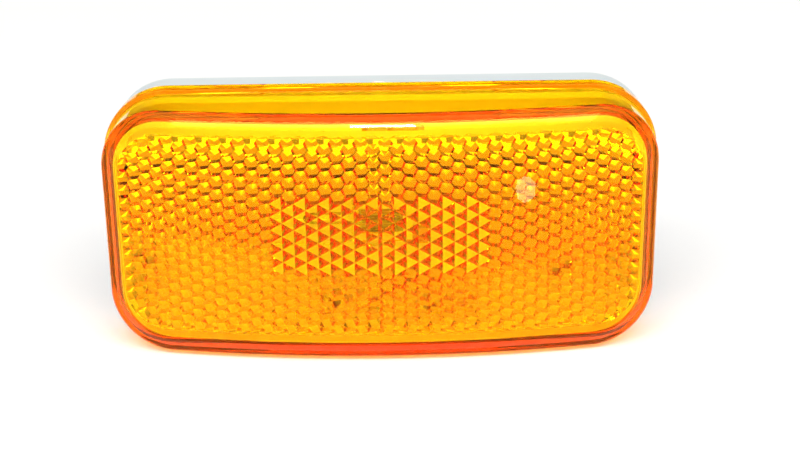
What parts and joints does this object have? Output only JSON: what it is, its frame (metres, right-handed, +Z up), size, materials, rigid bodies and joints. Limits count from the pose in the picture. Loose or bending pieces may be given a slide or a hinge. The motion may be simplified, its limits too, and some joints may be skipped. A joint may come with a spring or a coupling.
{
  "type": "clearance lamp",
  "caption": "Rectangular vehicle clearance lamp: crowned amber lens with a reflex prism panel, snapped over a white screw-on base that holds a wedge bulb.",
  "frame": {"origin": "centre of the mounting face, on the back of the foam gasket", "axes": "+X along the lamp's length, +Z up its height, -Y out of the lens towards the viewer"},
  "size_m": [0.103, 0.0268, 0.0484],
  "materials": {
    "amber_acrylic": "clear amber, polished mould",
    "white_abs": "semi-gloss white moulding",
    "foam": "matte closed-cell foam",
    "bulb_glass": "clear",
    "tungsten": "dull grey coil",
    "lead_wire": "plain drawn wire",
    "brass": "rolled strip",
    "tinned_eyelet": "tin plate"
  },
  "bodies": {
    "root": {"lens": "amber_acrylic", "base": "white_abs", "gasket": "foam", "bulb_glass": "bulb_glass", "filament": "tungsten", "lead_upper": "lead_wire", "lead_lower": "lead_wire", "contact_upper": "brass", "contact_lower": "brass", "eyelets": "tinned_eyelet"}
  },
  "joints": []
}
